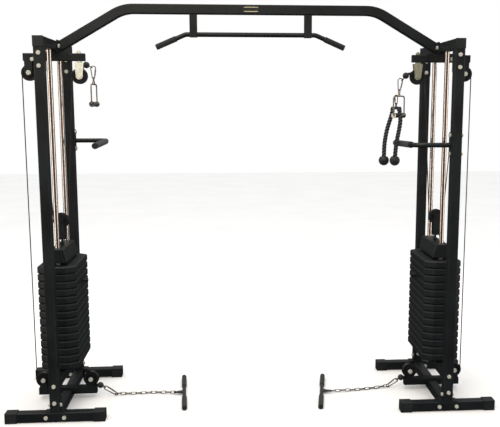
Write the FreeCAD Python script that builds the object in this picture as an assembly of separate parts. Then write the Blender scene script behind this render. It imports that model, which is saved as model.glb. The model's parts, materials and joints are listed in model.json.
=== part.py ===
"""Cable crossover station: two weight-stack towers joined by an arched beam with a pull-up bar.

Millimetres. The origin is on the floor, midway between the towers; +X runs from the left tower to the
right one, +Y to the back and +Z up. Each tower is drawn once, in its own frame with +X pointing at the
user space, and the right tower is the left one turned half round.
"""
import FreeCAD, Part
import math
import os

V = FreeCAD.Vector
X_AXIS = V(1, 0, 0)
Y_AXIS = V(0, 1, 0)
Z_AXIS = V(0, 0, 1)

# Frame
TUBE = 50.0
WALL = 2.0
TUBE_CORNER = 4.0
TOWER_X = 1045.0
UPRIGHT_Y = 319.5
FOOT_LENGTH = 516.5
CAP_SIZE = 56.7
CAP_LENGTH = 62.0
CAP_END = 3.25
FOOT_BOTTOM = (CAP_SIZE - TUBE) / 2
FOOT_TOP = FOOT_BOTTOM + TUBE
BASE_PLATE = 4.0
TONGUE = 5.0
TOP_TUBE_BOTTOM = 1925.5
TOP_TUBE_TOP = TOP_TUBE_BOTTOM + TUBE
SHELF_TOP = 222.0
RAIL = 40.0
RAIL_REACH = 160.0
HIGH_RAIL_BOTTOM = 1874.0
LOW_RAIL_BOTTOM = 25.0
HANGER_REACH = 72.0
HANGER_BOTTOM = 1878.0
HANGER_BOLT = 55.0

# Beam and pull-up bar
BEAM_TOP = 2171.6
BEAM_CORNER_X = 676.0
BEAM_BEND = 200.0
BEAM_SLOPE = 30.3
BEAM_END_X = 1014.0
FLANGE = 6.0
BEAM_FLANGE_BOTTOM = 1921.0
BEAM_FLANGE_TOP = 1981.0
DROP_X = 308.0
BAR_Z = 2016.0
BAR_RADIUS = 12.5
BAR_KNEE_X = 350.0
BAR_END_X = 505.0
BAR_END_Z = 1949.0

# Weight stack
PLATES = 14
LIFTED = 3
PAD = 6.0
PLATE_PITCH = 40.6
PLATE_HEIGHT = 40.3
STACK_BOTTOM = SHELF_TOP + PAD
STACK_TOP = STACK_BOTTOM + PLATES * PLATE_PITCH
ROD_Y = 117.0
ROD_RADIUS = 12.5
PIN_RADIUS = 4.5
PIN_HEIGHT = 5.4
STEM_RADIUS = 12.0
BLOCK_GAP = 9.6
BLOCK_BOTTOM = STACK_TOP + BLOCK_GAP
BLOCK_TOP = BLOCK_BOTTOM + 76.0

# Pulleys and cable
PULLEY_RADIUS = 42.5
CABLE_RADIUS = 2.75
CABLE_BEND = 39.2
AXLE_RADIUS = 6.0
SWIVEL_XZ = (129.0, 1796.0)
HIGH_OUTER_XZ = (-133.0, 1812.0)
LOW_OUTER_XZ = (-133.0, 110.0)
LOW_INNER_XZ = (130.0, 110.0)
FLOATING_XZ = (0.0, 1017.0)
BALL_RADIUS = 17.5
HIGH_BALL_XZ = {"left": (165.8, 1853.8), "right": (193.4, 1802.5)}
HIGH_EYE_STEP = {"left": (23.0, -11.0), "right": (17.0, -21.0)}
LOW_BALL_XZ = (179.0, 67.0)
LOW_EYE_STEP = (21.0, -11.0)
EYE_RADIUS = 9.0
EYE_WIRE = 2.2

# Fasteners: M10 hexagon bolts
BOLT_RADIUS = 5.0
HOLE_CLEARANCE = 0.4
HEX_FLATS = 17.0
HEX_HEIGHT = 6.4
NUT_HEIGHT = 8.0
WASHER_RADIUS = 10.5
WASHER = 1.6

# Attachments
HOOK_WIRE = 2.75
FLOOR_BAR_LENGTH = 475.0
FLOOR_GRIP_LENGTH = 158.0
STIRRUP_HALF = 62.0
STIRRUP_HEIGHT = 105.0
STIRRUP_WIRE = 3.7
STIRRUP_NECK = 27.0
STIRRUP_EYE = 9.5
LINK_PITCH = 29.0
LINK_WIRE = 2.2
ROPE_RADIUS = 12.5
BELL_RADIUS = 28.5

SIDES = ("left", "right")
nodes = {}


def add(name, solids):
    """Put solids into a node."""
    nodes.setdefault(name, []).extend(solids)


def box(x0, x1, y0, y1, z0, z1):
    return Part.makeBox(x1 - x0, y1 - y0, z1 - z0, V(x0, y0, z0))


def cylinder(start, direction, length, radius):
    return Part.makeCylinder(radius, length, start, direction)


def ring(start, direction, length, radius, bore):
    return cylinder(start, direction, length, radius).cut(cylinder(start, direction, length, bore))


def oriented(shape, point, direction):
    """Move a shape drawn along +Z from the origin to a point, facing a direction."""
    shape.Placement = FreeCAD.Placement(point, FreeCAD.Rotation(Z_AXIS, direction)).multiply(shape.Placement)
    return shape


def square_tube(x0, x1, y0, y1, z0, z1, axis, wall=WALL):
    """Hollow square tube with rounded long edges, open at both ends."""
    outer = box(x0, x1, y0, y1, z0, z1)
    edges = [e for e in outer.Edges if abs(e.tangentAt(e.FirstParameter).dot(axis)) > 0.99]
    outer = outer.makeFillet(TUBE_CORNER, edges)
    grow = V(1, 1, 1) - axis
    inner = box(x0 + wall * grow.x, x1 - wall * grow.x, y0 + wall * grow.y, y1 - wall * grow.y,
                z0 + wall * grow.z, z1 - wall * grow.z)
    return outer.cut(inner)


def hexagon(flats, height):
    corner = flats / math.sqrt(3)
    points = [V(corner * math.cos(math.radians(60 * i)), corner * math.sin(math.radians(60 * i)), 0)
              for i in range(7)]
    return Part.Face(Part.makePolygon(points)).extrude(V(0, 0, height))


def bolt(point, direction, grip, radius=BOLT_RADIUS):
    """Bolt and nut: the head stands on a surface at point and the nut is grip further in."""
    flats = HEX_FLATS * radius / BOLT_RADIUS
    washer = WASHER_RADIUS * radius / BOLT_RADIUS
    length = grip + WASHER + NUT_HEIGHT + 2
    hexagonal = oriented(hexagon(flats, HEX_HEIGHT), V(0, 0, WASHER), Z_AXIS)
    head = Part.makeCylinder(washer, WASHER).fuse(hexagonal)
    screw = head.fuse(Part.makeCylinder(radius, length, V(0, 0, -length)))
    nut = hexagon(flats, NUT_HEIGHT)
    nut.translate(V(0, 0, -grip - WASHER - NUT_HEIGHT))
    nut = nut.fuse(Part.makeCylinder(washer, WASHER, V(0, 0, -grip - WASHER)))
    nut = nut.cut(Part.makeCylinder(radius, length, V(0, 0, -length)))
    return [oriented(s.removeSplitter(), point, direction) for s in (screw, nut)]


def bolt_hole(point, direction, grip, radius=BOLT_RADIUS):
    start = point - direction * (grip + WASHER + 1)
    return cylinder(start, direction, grip + WASHER + 2, radius + HOLE_CLEARANCE)


def drilled(shape, holes):
    """Cut the holes that meet a shape."""
    for hole in holes:
        if shape.BoundBox.intersect(hole.BoundBox):
            shape = shape.cut(hole)
    return shape


def prism(points, y0, y1):
    """Flat outline of (x, z) points, carried from y0 to y1."""
    corners = [V(x, y0, z) for x, z in points]
    return Part.Face(Part.makePolygon(corners + corners[:1])).extrude(V(0, y1 - y0, 0))


def cheek(axle, radius, half_base, z_base, y0, y1, bore):
    """Side plate of a pulley bracket: a tapered plate with a round end about the axle."""
    x, z = axle
    sign = 1 if z_base > z else -1
    tip = radius * 0.98
    plate = prism([(x - half_base, z_base), (x + half_base, z_base), (x + tip, z + sign * radius * 0.2),
                   (x - tip, z + sign * radius * 0.2)], y0, y1)
    plate = plate.fuse(cylinder(V(x, y0, z), Y_AXIS, y1 - y0, radius))
    return plate.cut(cylinder(V(x, y0, z), Y_AXIS, y1 - y0, bore)).removeSplitter()


def tangent(first, second):
    """Ends of the straight run between two pulleys, each (x, z, radius, turn)."""
    (x1, z1, r1, s1), (x2, z2, r2, s2) = first, second
    dx, dz = x2 - x1, z2 - z1
    offset = s2 * r2 - s1 * r1
    square = dx * dx + dz * dz
    run = math.sqrt(square - offset * offset)
    ux = (run * dx + offset * dz) / square
    uz = (run * dz - offset * dx) / square
    return V(x1 + s1 * r1 * uz, 0, z1 - s1 * r1 * ux), V(x2 + s2 * r2 * uz, 0, z2 - s2 * r2 * ux)


def wrap(pulley, start, end):
    """Arc of cable round a pulley from start to end, in its turning direction."""
    x, z, radius, turn = pulley
    a = math.atan2(start.z - z, start.x - x)
    b = math.atan2(end.z - z, end.x - x)
    if turn > 0 and b < a:
        b += 2 * math.pi
    if turn < 0 and b > a:
        b -= 2 * math.pi
    middle = (a + b) / 2
    return Part.Arc(start, V(x + radius * math.cos(middle), 0, z + radius * math.sin(middle)), end).toShape()


def line(a, b):
    return Part.LineSegment(a, b).toShape()


def swept(edges, radius):
    """Round wire of a given radius along joined edges."""
    path = Part.Wire(edges)
    first = edges[0]
    start = first.valueAt(first.FirstParameter)
    heading = first.tangentAt(first.FirstParameter)
    profile = Part.Wire([Part.Circle(start, heading, radius).toShape()])
    return path.makePipeShell([profile], True, True)


def rounded_path(points, radii):
    """Straight runs joined by tangent arcs: one radius for each inner point."""
    edges = []
    start = points[0]
    for i, radius in enumerate(radii, 1):
        into = (points[i] - points[i - 1]).normalize()
        out = (points[i + 1] - points[i]).normalize()
        turn = into.getAngle(out)
        setback = radius * math.tan(turn / 2)
        a = points[i] - into * setback
        b = points[i] + out * setback
        middle = points[i] + (out - into).normalize() * (radius / math.cos(turn / 2) - radius)
        edges.append(line(start, a))
        edges.append(Part.Arc(a, middle, b).toShape())
        start = b
    edges.append(line(start, points[-1]))
    return edges


def cord_radii(points):
    """Each bend of a loose cord is as large as its two runs allow."""
    radii = []
    for i in range(1, len(points) - 1):
        into = points[i] - points[i - 1]
        out = points[i + 1] - points[i]
        shorter = min(into.Length, out.Length)
        radii.append(0.45 * shorter / math.tan(into.getAngle(out) / 2))
    return radii


def pear_loop(length, wide, narrow, wire):
    """Snap-hook outline hanging down from the origin: a wide arc on top, a narrow one below."""
    gap = length - wide - narrow
    lean = math.asin((wide - narrow) / gap)
    top, bottom = V(0, 0, -wide), V(0, 0, -wide - gap)
    side = V(math.cos(lean), 0, math.sin(lean) * -1)
    other = V(-math.cos(lean), 0, math.sin(lean) * -1)
    a, b = top + side * wide, bottom + side * narrow
    c, d = bottom + other * narrow, top + other * wide
    edges = [line(a, b), Part.Arc(b, bottom - Z_AXIS * narrow, c).toShape(), line(c, d),
             Part.Arc(d, top + Z_AXIS * wide, a).toShape()]
    loop = swept(edges, wire)
    sleeve = cylinder(a + (b - a) * 0.12, b - a, (b - a).Length * 0.7, wire + 1.2)
    return loop.fuse(sleeve)


def torus(centre, normal, radius, wire):
    return Part.makeTorus(radius, wire, centre, normal)


# ---------------------------------------------------------------- one tower, facing +X
def tower_bolts():
    """Each frame bolt of a tower as (point, outward direction, grip)."""
    bolts = []
    for s in (-1, 1):
        out = V(0, s, 0)
        face = s * (UPRIGHT_Y + TUBE / 2)
        for x in (-47, 47):
            bolts.append((V(x, face, 27), out, TUBE + TONGUE))
        for z in (106, 1832, 1895):
            bolts.append((V(0, face, z), out, TUBE + TONGUE))
        bolts.append((V(0, face, SHELF_TOP - TUBE / 2), out, TUBE + TONGUE))
        bolts.append((V(TUBE / 2, s * UPRIGHT_Y, 88), X_AXIS, TUBE))
        bolts.append((V(TUBE / 2 + FLANGE, s * 40, 1950), X_AXIS, TUBE + FLANGE))
    bolts.append((V(-HANGER_BOLT, -RAIL / 2 - TONGUE, 1892), V(0, -1, 0), RAIL + 2 * TONGUE))
    bolts.append((V(HIGH_OUTER_XZ[0] + 22, -RAIL / 2 - 3, 1882), V(0, -1, 0), RAIL + 6))
    for z in (1393, 1488):
        bolts.append((V(TUBE / 2 + TONGUE, UPRIGHT_Y, z), X_AXIS, TUBE + TONGUE))
    return bolts


def feet():
    half = FOOT_LENGTH / 2 - CAP_END
    return [square_tube(-half, half, s * UPRIGHT_Y - TUBE / 2, s * UPRIGHT_Y + TUBE / 2,
                        FOOT_BOTTOM, FOOT_TOP, X_AXIS) for s in (-1, 1)]


def foot_cap(s, end):
    """Plastic shoe over one end of a foot."""
    tip = FOOT_LENGTH / 2
    reach = sorted((end * (tip - CAP_LENGTH), end * tip))
    half = CAP_SIZE / 2
    shoe = box(reach[0], reach[1], s * UPRIGHT_Y - half, s * UPRIGHT_Y + half, 0, CAP_SIZE)
    shoe = shoe.makeFillet(3, shoe.Edges)
    inside = sorted((end * (tip - CAP_LENGTH - 1), end * (tip - CAP_END)))
    return shoe.cut(box(inside[0], inside[1], s * UPRIGHT_Y - TUBE / 2, s * UPRIGHT_Y + TUBE / 2,
                        FOOT_BOTTOM, FOOT_TOP))


def top_cap(s):
    """Plug in the end of the top tube."""
    face = UPRIGHT_Y + TUBE / 2
    y = sorted((s * face, s * (face + 4)))
    lid = box(-26, 26, y[0], y[1], TOP_TUBE_BOTTOM - 1, TOP_TUBE_TOP + 1)
    plug = sorted((s * (face - 16), s * face))
    inner = TUBE / 2 - WALL
    middle = TOP_TUBE_BOTTOM + TUBE / 2
    return lid.fuse(box(-inner, inner, plug[0], plug[1], middle - inner, middle + inner))


def base_rail():
    reach = UPRIGHT_Y - TUBE / 2
    rail = square_tube(-TUBE / 2, TUBE / 2, -reach + TONGUE, reach - TONGUE, FOOT_BOTTOM, FOOT_TOP, Y_AXIS)
    for s in (-1, 1):
        y = sorted((s * reach, s * (reach - TONGUE)))
        rail = rail.fuse(box(-64, 64, y[0], y[1], FOOT_BOTTOM + 3, FOOT_TOP - 3))
        rail = rail.fuse(box(-TUBE / 2, TUBE / 2, y[0], y[1], FOOT_TOP - 4, 132))
    return rail


def upright(s):
    y = s * UPRIGHT_Y
    post = square_tube(-TUBE / 2, TUBE / 2, y - TUBE / 2, y + TUBE / 2, FOOT_TOP + BASE_PLATE,
                       TOP_TUBE_BOTTOM, Z_AXIS)
    return post.fuse(box(-50, 50, y - TUBE / 2, y + TUBE / 2, FOOT_TOP, FOOT_TOP + BASE_PLATE))


def shelf():
    reach = UPRIGHT_Y - TUBE / 2
    tube = square_tube(-TUBE / 2, TUBE / 2, -reach, reach, SHELF_TOP - TUBE, SHELF_TOP, Y_AXIS)
    for s in (-1, 1):
        y = sorted((s * reach, s * (reach - TONGUE)))
        tube = tube.fuse(box(-TUBE / 2 + 1, TUBE / 2 - 1, y[0], y[1], SHELF_TOP - TUBE + 1, SHELF_TOP - 1))
    return tube


def top_tube():
    reach = UPRIGHT_Y + TUBE / 2
    tube = square_tube(-TUBE / 2, TUBE / 2, -reach, reach, TOP_TUBE_BOTTOM, TOP_TUBE_TOP, Y_AXIS)
    inner = UPRIGHT_Y - TUBE / 2
    for s in (-1, 1):
        y = sorted((s * inner, s * (inner - TONGUE)))
        tube = tube.fuse(box(-TUBE / 2, TUBE / 2, y[0], y[1], 1810, TOP_TUBE_BOTTOM + 0.5))
    return tube


def high_rail():
    rail = square_tube(-RAIL_REACH, RAIL_REACH, -RAIL / 2, RAIL / 2, HIGH_RAIL_BOTTOM,
                       HIGH_RAIL_BOTTOM + RAIL, X_AXIS)
    for s in (-1, 1):
        x = sorted((s * RAIL_REACH, s * (RAIL_REACH - 3)))
        rail = rail.fuse(box(x[0], x[1], -RAIL / 2 + 1, RAIL / 2 - 1, HIGH_RAIL_BOTTOM + 1,
                             HIGH_RAIL_BOTTOM + RAIL - 1))
    return rail


def hanger(s):
    """Plate from the top tube down the rail's side, notched under the beam's flanges."""
    y = sorted((s * RAIL / 2, s * (RAIL / 2 + TONGUE)))
    wide = box(-HANGER_REACH, HANGER_REACH, y[0], y[1], HANGER_BOTTOM, BEAM_FLANGE_BOTTOM - 0.6)
    return wide.fuse(box(-TUBE / 2 + 0.1, TUBE / 2 - 0.1, y[0], y[1], HANGER_BOTTOM, TOP_TUBE_BOTTOM))


def low_rail():
    top = LOW_RAIL_BOTTOM + RAIL
    rail = square_tube(-RAIL_REACH, RAIL_REACH, -RAIL / 2, RAIL / 2, LOW_RAIL_BOTTOM, top, X_AXIS)
    for s in (-1, 1):
        x = sorted((s * RAIL_REACH, s * (RAIL_REACH - 3)))
        rail = rail.fuse(box(x[0], x[1], -RAIL / 2 + 1, RAIL / 2 - 1, LOW_RAIL_BOTTOM + 1, top - 1))
    rail = rail.cut(box(-TUBE / 2, TUBE / 2, -RAIL, RAIL, 0, FOOT_TOP))
    bevel = prism([(RAIL_REACH - 14, 0), (RAIL_REACH + 20, 0), (RAIL_REACH + 20, 60)], -RAIL, RAIL)
    return rail.cut(bevel)


def plate(bottom):
    """Octagonal weight with bevelled rims, bored for the rods and stem, and slotted for the pin."""
    x, y, cut_x, cut_y = 102.0, 160.0, 50.0, 193.0
    outline = [(x, -y), (x, y), (cut_x, cut_y), (-cut_x, cut_y), (-x, y), (-x, -y), (-cut_x, -cut_y),
               (cut_x, -cut_y)]
    corners = [V(a, b, bottom) for a, b in outline]
    weight = Part.Face(Part.makePolygon(corners + corners[:1])).extrude(V(0, 0, PLATE_HEIGHT))
    rims = [e for e in weight.Edges if abs(e.tangentAt(e.FirstParameter).z) < 0.5]
    weight = weight.makeChamfer(6, rims)
    for y in (-ROD_Y, ROD_Y):
        weight = weight.cut(cylinder(V(0, y, bottom - 1), Z_AXIS, 60, ROD_RADIUS + 0.7))
    weight = weight.cut(cylinder(V(0, 0, bottom - 1), Z_AXIS, 60, STEM_RADIUS + 1))
    return weight.cut(box(0, x + 1, -6.5, 6.5, bottom - 1, bottom + 10.6))


def plate_bottom(i):
    """Underside of plate i, counted from the shelf."""
    return STACK_BOTTOM + i * PLATE_PITCH + 0.1


def head_block():
    outline = [(-53, BLOCK_BOTTOM), (53, BLOCK_BOTTOM), (53, BLOCK_BOTTOM + 14), (36, BLOCK_TOP),
               (-36, BLOCK_TOP), (-53, BLOCK_BOTTOM + 14)]
    block = prism(outline, -146, 146)
    block = block.makeChamfer(3, block.Edges)
    for y in (-ROD_Y, ROD_Y):
        block = block.cut(cylinder(V(0, y, BLOCK_BOTTOM - 1), Z_AXIS, 90, ROD_RADIUS + 0.7))
    return block.cut(cylinder(V(0, 0, BLOCK_TOP - 20), Z_AXIS, 30, AXLE_RADIUS))


def selector_stem():
    low = plate_bottom(0) + 2
    stem = cylinder(V(0, 0, low), Z_AXIS, BLOCK_BOTTOM - low, STEM_RADIUS)
    for i in range(PLATES):
        stem = stem.cut(cylinder(V(-20, 0, plate_bottom(i) + PIN_HEIGHT), X_AXIS, 40, PIN_RADIUS + 0.3))
    return stem


def selector_pin():
    z = plate_bottom(PLATES - LIFTED) + PIN_HEIGHT
    shank = cylinder(V(-STEM_RADIUS, 0, z), X_AXIS, 108 + STEM_RADIUS, PIN_RADIUS)
    collar = cylinder(V(103, 0, z), X_AXIS, 5, 9)
    knob = cylinder(V(108, 0, z), X_AXIS, 24, 11.5)
    return shank.fuse(collar).fuse(knob)


def pulley(centre):
    """Grooved nylon wheel with a bored hub, turned about Y."""
    x, z = centre
    half, hub, web = 10.0, 10.5, 5.5
    bore = AXLE_RADIUS + 0.3
    profile = [(bore, -hub), (15, -hub), (16, -web), (29, -web), (31, -half), (PULLEY_RADIUS - 1, -half),
               (PULLEY_RADIUS, -half + 1), (PULLEY_RADIUS, -8), (36, -3.6), (36, 3.6), (PULLEY_RADIUS, 8),
               (PULLEY_RADIUS, half - 1), (PULLEY_RADIUS - 1, half), (31, half), (29, web), (16, web),
               (15, hub), (bore, hub)]
    corners = [V(x + r, y, z) for r, y in profile]
    face = Part.Face(Part.makePolygon(corners + corners[:1]))
    return face.revolve(V(x, 0, z), Y_AXIS, 360)


def swivel_fork(side):
    """Zinc fork on a stud through the high rail, with its axle and nuts, cleared for the ball."""
    x, z = SWIVEL_XZ
    top = HIGH_RAIL_BOTTOM - 8
    cheeks = [cheek(SWIVEL_XZ, 18, 25, top, y, y + 3, AXLE_RADIUS) for y in (-15, 12)]
    fork = cheeks[0].fuse(cheeks[1]).fuse(box(x - 25, x + 25, -15, 15, top - 4, top))
    washer = cylinder(V(x, 0, top), Z_AXIS, 7.6, 13)
    stud = cylinder(V(x, 0, top), Z_AXIS, TOP_TUBE_BOTTOM + 4 - top, 7)
    ball_room = Part.makeSphere(BALL_RADIUS + 0.5, V(HIGH_BALL_XZ[side][0], 0, HIGH_BALL_XZ[side][1]))
    fork = fork.fuse(washer).fuse(stud).cut(ball_room)
    nut = hexagon(22, 9)
    nut.translate(V(x, 0, HIGH_RAIL_BOTTOM + RAIL + 0.4))
    nut = nut.cut(cylinder(V(x, 0, top), Z_AXIS, 80, 7))
    return [fork, nut] + bolt(V(x, -15, z), V(0, -1, 0), 30, AXLE_RADIUS)


def floating_fork():
    """Black fork on a stud in the head block, carrying the floating pulley on its axle."""
    z = FLOATING_XZ[1]
    base = z - 105
    cheeks = [cheek(FLOATING_XZ, 19, 19, base, y, y + 4, AXLE_RADIUS) for y in (-16, 12)]
    fork = cheeks[0].fuse(cheeks[1]).fuse(box(-19, 19, -16, 16, base, base + 6))
    fork = fork.fuse(cylinder(V(0, 0, BLOCK_TOP - 20), Z_AXIS, base + 6 - BLOCK_TOP + 20, AXLE_RADIUS))
    nut = hexagon(19, 11)
    nut.translate(V(0, 0, BLOCK_TOP + 0.2))
    nut = nut.cut(cylinder(V(0, 0, BLOCK_TOP - 5), Z_AXIS, 30, AXLE_RADIUS))
    return [fork, nut] + bolt(V(0, -16, z), V(0, -1, 0), 32, AXLE_RADIUS)


def fixed_bracket(axle, radius, half_base, z_base):
    """Two cheeks that straddle a rail, and the spacers beside the pulley's hub."""
    x, z = axle
    parts = []
    for s in (-1, 1):
        y = sorted((s * RAIL / 2, s * (RAIL / 2 + 3)))
        parts.append(cheek(axle, radius, half_base, z_base, y[0], y[1], AXLE_RADIUS))
        y = sorted((s * 10.8, s * RAIL / 2))
        parts.append(ring(V(x, y[0], z), Y_AXIS, y[1] - y[0], 9, AXLE_RADIUS))
    return parts


def cable_pulleys(side):
    """The pulleys along the cable in order, as (x, z, bend radius, turn), with the ball at each end."""
    return [HIGH_BALL_XZ[side] + (0, 1), SWIVEL_XZ + (CABLE_BEND, 1), FLOATING_XZ + (CABLE_BEND, -1),
            HIGH_OUTER_XZ + (CABLE_BEND, 1), LOW_OUTER_XZ + (CABLE_BEND, 1), LOW_INNER_XZ + (CABLE_BEND, 1),
            LOW_BALL_XZ + (0, 1)]


def ball(centre, step, start):
    """Rubber stop ball with the steel eye beyond it; start is where the cable leaves its pulley."""
    middle = V(centre[0], 0, centre[1])
    away = V(step[0], 0, step[1])
    sphere = Part.makeSphere(BALL_RADIUS, middle)
    toward = (middle - start).normalize()
    collar = Part.makeCone(5.5, 9, 12, middle - toward * (BALL_RADIUS + 8), toward)
    stop = sphere.fuse(collar)
    normal = away.cross(Y_AXIS).normalize()
    eye = torus(middle + away, normal, EYE_RADIUS, EYE_WIRE)
    stem_end = away.Length - EYE_RADIUS
    outward = V(away).normalize()
    stem = cylinder(middle + outward * (BALL_RADIUS - 2), outward, stem_end - BALL_RADIUS + 3, 2.6)
    return stop.cut(cylinder(middle - toward * 40, toward, 40, CABLE_RADIUS)), eye.fuse(stem).cut(sphere)


def cables(side):
    """The three stretches of one tower's cable, and its ends."""
    route = cable_pulleys(side)
    runs = [tangent(a, b) for a, b in zip(route, route[1:])]
    arcs = [wrap(route[i], runs[i - 1][1], runs[i][0]) for i in range(1, len(route) - 1)]
    first = runs[0][0] + (runs[0][1] - runs[0][0]).normalize() * 6
    last = runs[5][1] - (runs[5][1] - runs[5][0]).normalize() * 6
    high = swept([line(first, runs[0][1]), arcs[0]], CABLE_RADIUS)
    lift = swept([line(*runs[1]), arcs[1], line(*runs[2])], CABLE_RADIUS)
    outer = swept([arcs[2], line(*runs[3]), arcs[3], line(*runs[4]), arcs[4], line(runs[5][0], last)],
                  CABLE_RADIUS)
    high_ball = ball(HIGH_BALL_XZ[side], HIGH_EYE_STEP[side], runs[0][1])
    stop, eye = ball(LOW_BALL_XZ, LOW_EYE_STEP, runs[5][0])
    stop = stop.cut(box(0, RAIL_REACH + 0.3, -RAIL / 2, RAIL / 2, 0, LOW_RAIL_BOTTOM + RAIL + 0.3))
    return [high] + list(high_ball), lift, outer, [stop, eye]


def support_handle():
    """Fixed hand rail on the rear upright's inner face, and its foam grip."""
    plate_x = TUBE / 2
    y, z = UPRIGHT_Y, 1438.0
    rail = box(plate_x, plate_x + TONGUE, y - TUBE / 2, y + TUBE / 2, 1378, 1503)
    corner_x, end_y, droop = 215.0, -112.0, 9.0
    path = rounded_path([V(plate_x + 3, y, z), V(corner_x, y, z), V(corner_x, end_y, z - droop)], [52])
    tube = swept(path, BAR_RADIUS)
    run = (V(corner_x, end_y, z - droop) - V(corner_x, y, z)).normalize()
    start = V(corner_x, y, z) + run * 75
    length = (V(corner_x, end_y, z - droop) - start).Length
    grip = cylinder(start, run, length + 3, 17)
    grip = grip.makeFillet(2.5, [e for e in grip.Edges if e.Closed])
    grip = grip.cut(cylinder(start - run * 5, run, length + 5, BAR_RADIUS))
    return rail.fuse(tube), grip


def build_tower(side):
    """All pieces of one tower in its own frame, as (node, solids, moves)."""
    bolts = tower_bolts()
    axles = [(V(c[0], -RAIL / 2 - 3, c[1]), V(0, -1, 0), RAIL + 6) for c in
             (HIGH_OUTER_XZ, LOW_OUTER_XZ, LOW_INNER_XZ)]
    holes = [bolt_hole(*b) for b in bolts] + [bolt_hole(*a, AXLE_RADIUS) for a in axles]
    stud_hole = cylinder(V(SWIVEL_XZ[0], 0, 1860), Z_AXIS, 80, 7.3)
    tower = {}
    tower["feet"] = [drilled(f, holes) for f in feet()]
    tower["end_caps"] = [foot_cap(s, e) for s in (-1, 1) for e in (-1, 1)] + [top_cap(s) for s in (-1, 1)]
    tower["base_rails"] = [drilled(base_rail(), holes)]
    tower["uprights"] = [drilled(upright(s), holes) for s in (-1, 1)]
    tower["stack_shelves"] = [drilled(shelf(), holes)]
    tower["top_tubes"] = [drilled(top_tube(), holes)]
    tower["high_rails"] = [drilled(high_rail(), holes).cut(stud_hole)] + \
        [drilled(hanger(s), holes) for s in (-1, 1)]
    tower["low_rails"] = [drilled(low_rail(), holes)]
    tower["guide_rods"] = [cylinder(V(0, s * ROD_Y, SHELF_TOP), Z_AXIS, TOP_TUBE_BOTTOM - SHELF_TOP,
                                    ROD_RADIUS) for s in (-1, 1)]
    tower["stack_pads"] = [ring(V(0, s * ROD_Y, SHELF_TOP), Z_AXIS, PAD, 24, ROD_RADIUS + 0.1)
                           for s in (-1, 1)]
    tower["frame_bolts"] = [s for b in bolts for s in bolt(*b)] + [s for a in axles
                                                                   for s in bolt(*a, AXLE_RADIUS)]
    tower["resting_plates"] = [plate(plate_bottom(i)) for i in range(PLATES - LIFTED)]
    brackets = fixed_bracket(HIGH_OUTER_XZ, 20, 21, 1898) + fixed_bracket(LOW_OUTER_XZ, 16, 27, 32) + \
        fixed_bracket(LOW_INNER_XZ, 16, 27, 32)
    tower["pulley_brackets"] = [drilled(b, holes[:len(bolts)]) for b in brackets]
    rail, grip = support_handle()
    tower["support_handles"] = [drilled(rail, holes)]
    tower["support_grips"] = [grip]
    high_end, lift, outer, low_ball = cables(side)
    tower["outer_cables"] = [outer]
    tower["low_ball_stops"] = low_ball
    tower[side + "_lifted_plates"] = [plate(plate_bottom(i)) for i in range(PLATES - LIFTED, PLATES)]
    tower[side + "_head_block"] = [head_block(), selector_stem()]
    tower[side + "_selector_pin"] = [selector_pin()]
    tower[side + "_floating_fork"] = floating_fork()
    tower[side + "_floating_pulley"] = [pulley(FLOATING_XZ)]
    tower[side + "_lift_cable"] = [lift]
    tower[side + "_swivel_fork"] = swivel_fork(side)
    tower[side + "_swivel_pulley"] = [pulley(SWIVEL_XZ)]
    tower[side + "_high_cable_end"] = high_end
    tower[side + "_high_outer_pulley"] = [pulley(HIGH_OUTER_XZ)]
    tower[side + "_low_outer_pulley"] = [pulley(LOW_OUTER_XZ)]
    tower[side + "_low_inner_pulley"] = [pulley(LOW_INNER_XZ)]
    return tower


def build_towers():
    for side in SIDES:
        turn = 0 if side == "left" else 180
        centre = V(-TOWER_X if side == "left" else TOWER_X, 0, 0)
        place = FreeCAD.Placement(centre, FreeCAD.Rotation(Z_AXIS, turn))
        for name, solids in build_tower(side).items():
            add(name, [moved(s, place) for s in solids])


def moved(shape, place):
    shape = shape.copy()
    shape.Placement = place.multiply(shape.Placement)
    return shape


# ---------------------------------------------------------------- beam and pull-up bar
def build_beam():
    """Arched beam: a level middle, a round bend at each shoulder and a slope down to each tower."""
    centre_z = BEAM_TOP - TUBE / 2
    far_x = BEAM_END_X + 30
    far_z = centre_z - math.tan(math.radians(BEAM_SLOPE)) * (far_x - BEAM_CORNER_X)
    path = rounded_path([V(-far_x, 0, far_z), V(-BEAM_CORNER_X, 0, centre_z), V(BEAM_CORNER_X, 0, centre_z),
                         V(far_x, 0, far_z)], [BEAM_BEND, BEAM_BEND])
    solids = []
    for half in (TUBE / 2, TUBE / 2 - WALL):
        section = box(-half, half, -half, half, 0, 1)
        if half == TUBE / 2:
            section = section.makeFillet(TUBE_CORNER, [e for e in section.Edges if e.Length == 1.0 and
                                                       abs(e.tangentAt(e.FirstParameter).z) > 0.99])
        wire = [f for f in section.Faces if f.CenterOfMass.z < 0.01][0].OuterWire
        heading = path[0].tangentAt(path[0].FirstParameter)
        lean = math.degrees(math.atan2(heading.z, heading.x))
        spin = FreeCAD.Rotation(Y_AXIS, 90 - lean)
        wire.Placement = FreeCAD.Placement(V(-far_x, 0, far_z), spin)
        solids.append(Part.Wire(path).makePipeShell([wire], True, False))
    beam = solids[0].cut(solids[1])
    beam = beam.common(box(-BEAM_END_X, BEAM_END_X, -60, 60, 1800, 2300))
    add("top_beam", [beam])
    bolts = [bolt_hole(V(-TOWER_X + TUBE / 2 + FLANGE, s * 40, 1950), X_AXIS, FLANGE) for s in (-1, 1)]
    for s in (-1, 1):
        x = sorted((s * BEAM_END_X, s * (BEAM_END_X + FLANGE)))
        flange = box(x[0], x[1], -58, 58, BEAM_FLANGE_BOTTOM, BEAM_FLANGE_TOP)
        holes = bolts if s < 0 else [moved(h, FreeCAD.Placement(V(), FreeCAD.Rotation(Z_AXIS, 180)))
                                     for h in bolts]
        add("beam_flanges", [drilled(flange, holes)])


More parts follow.
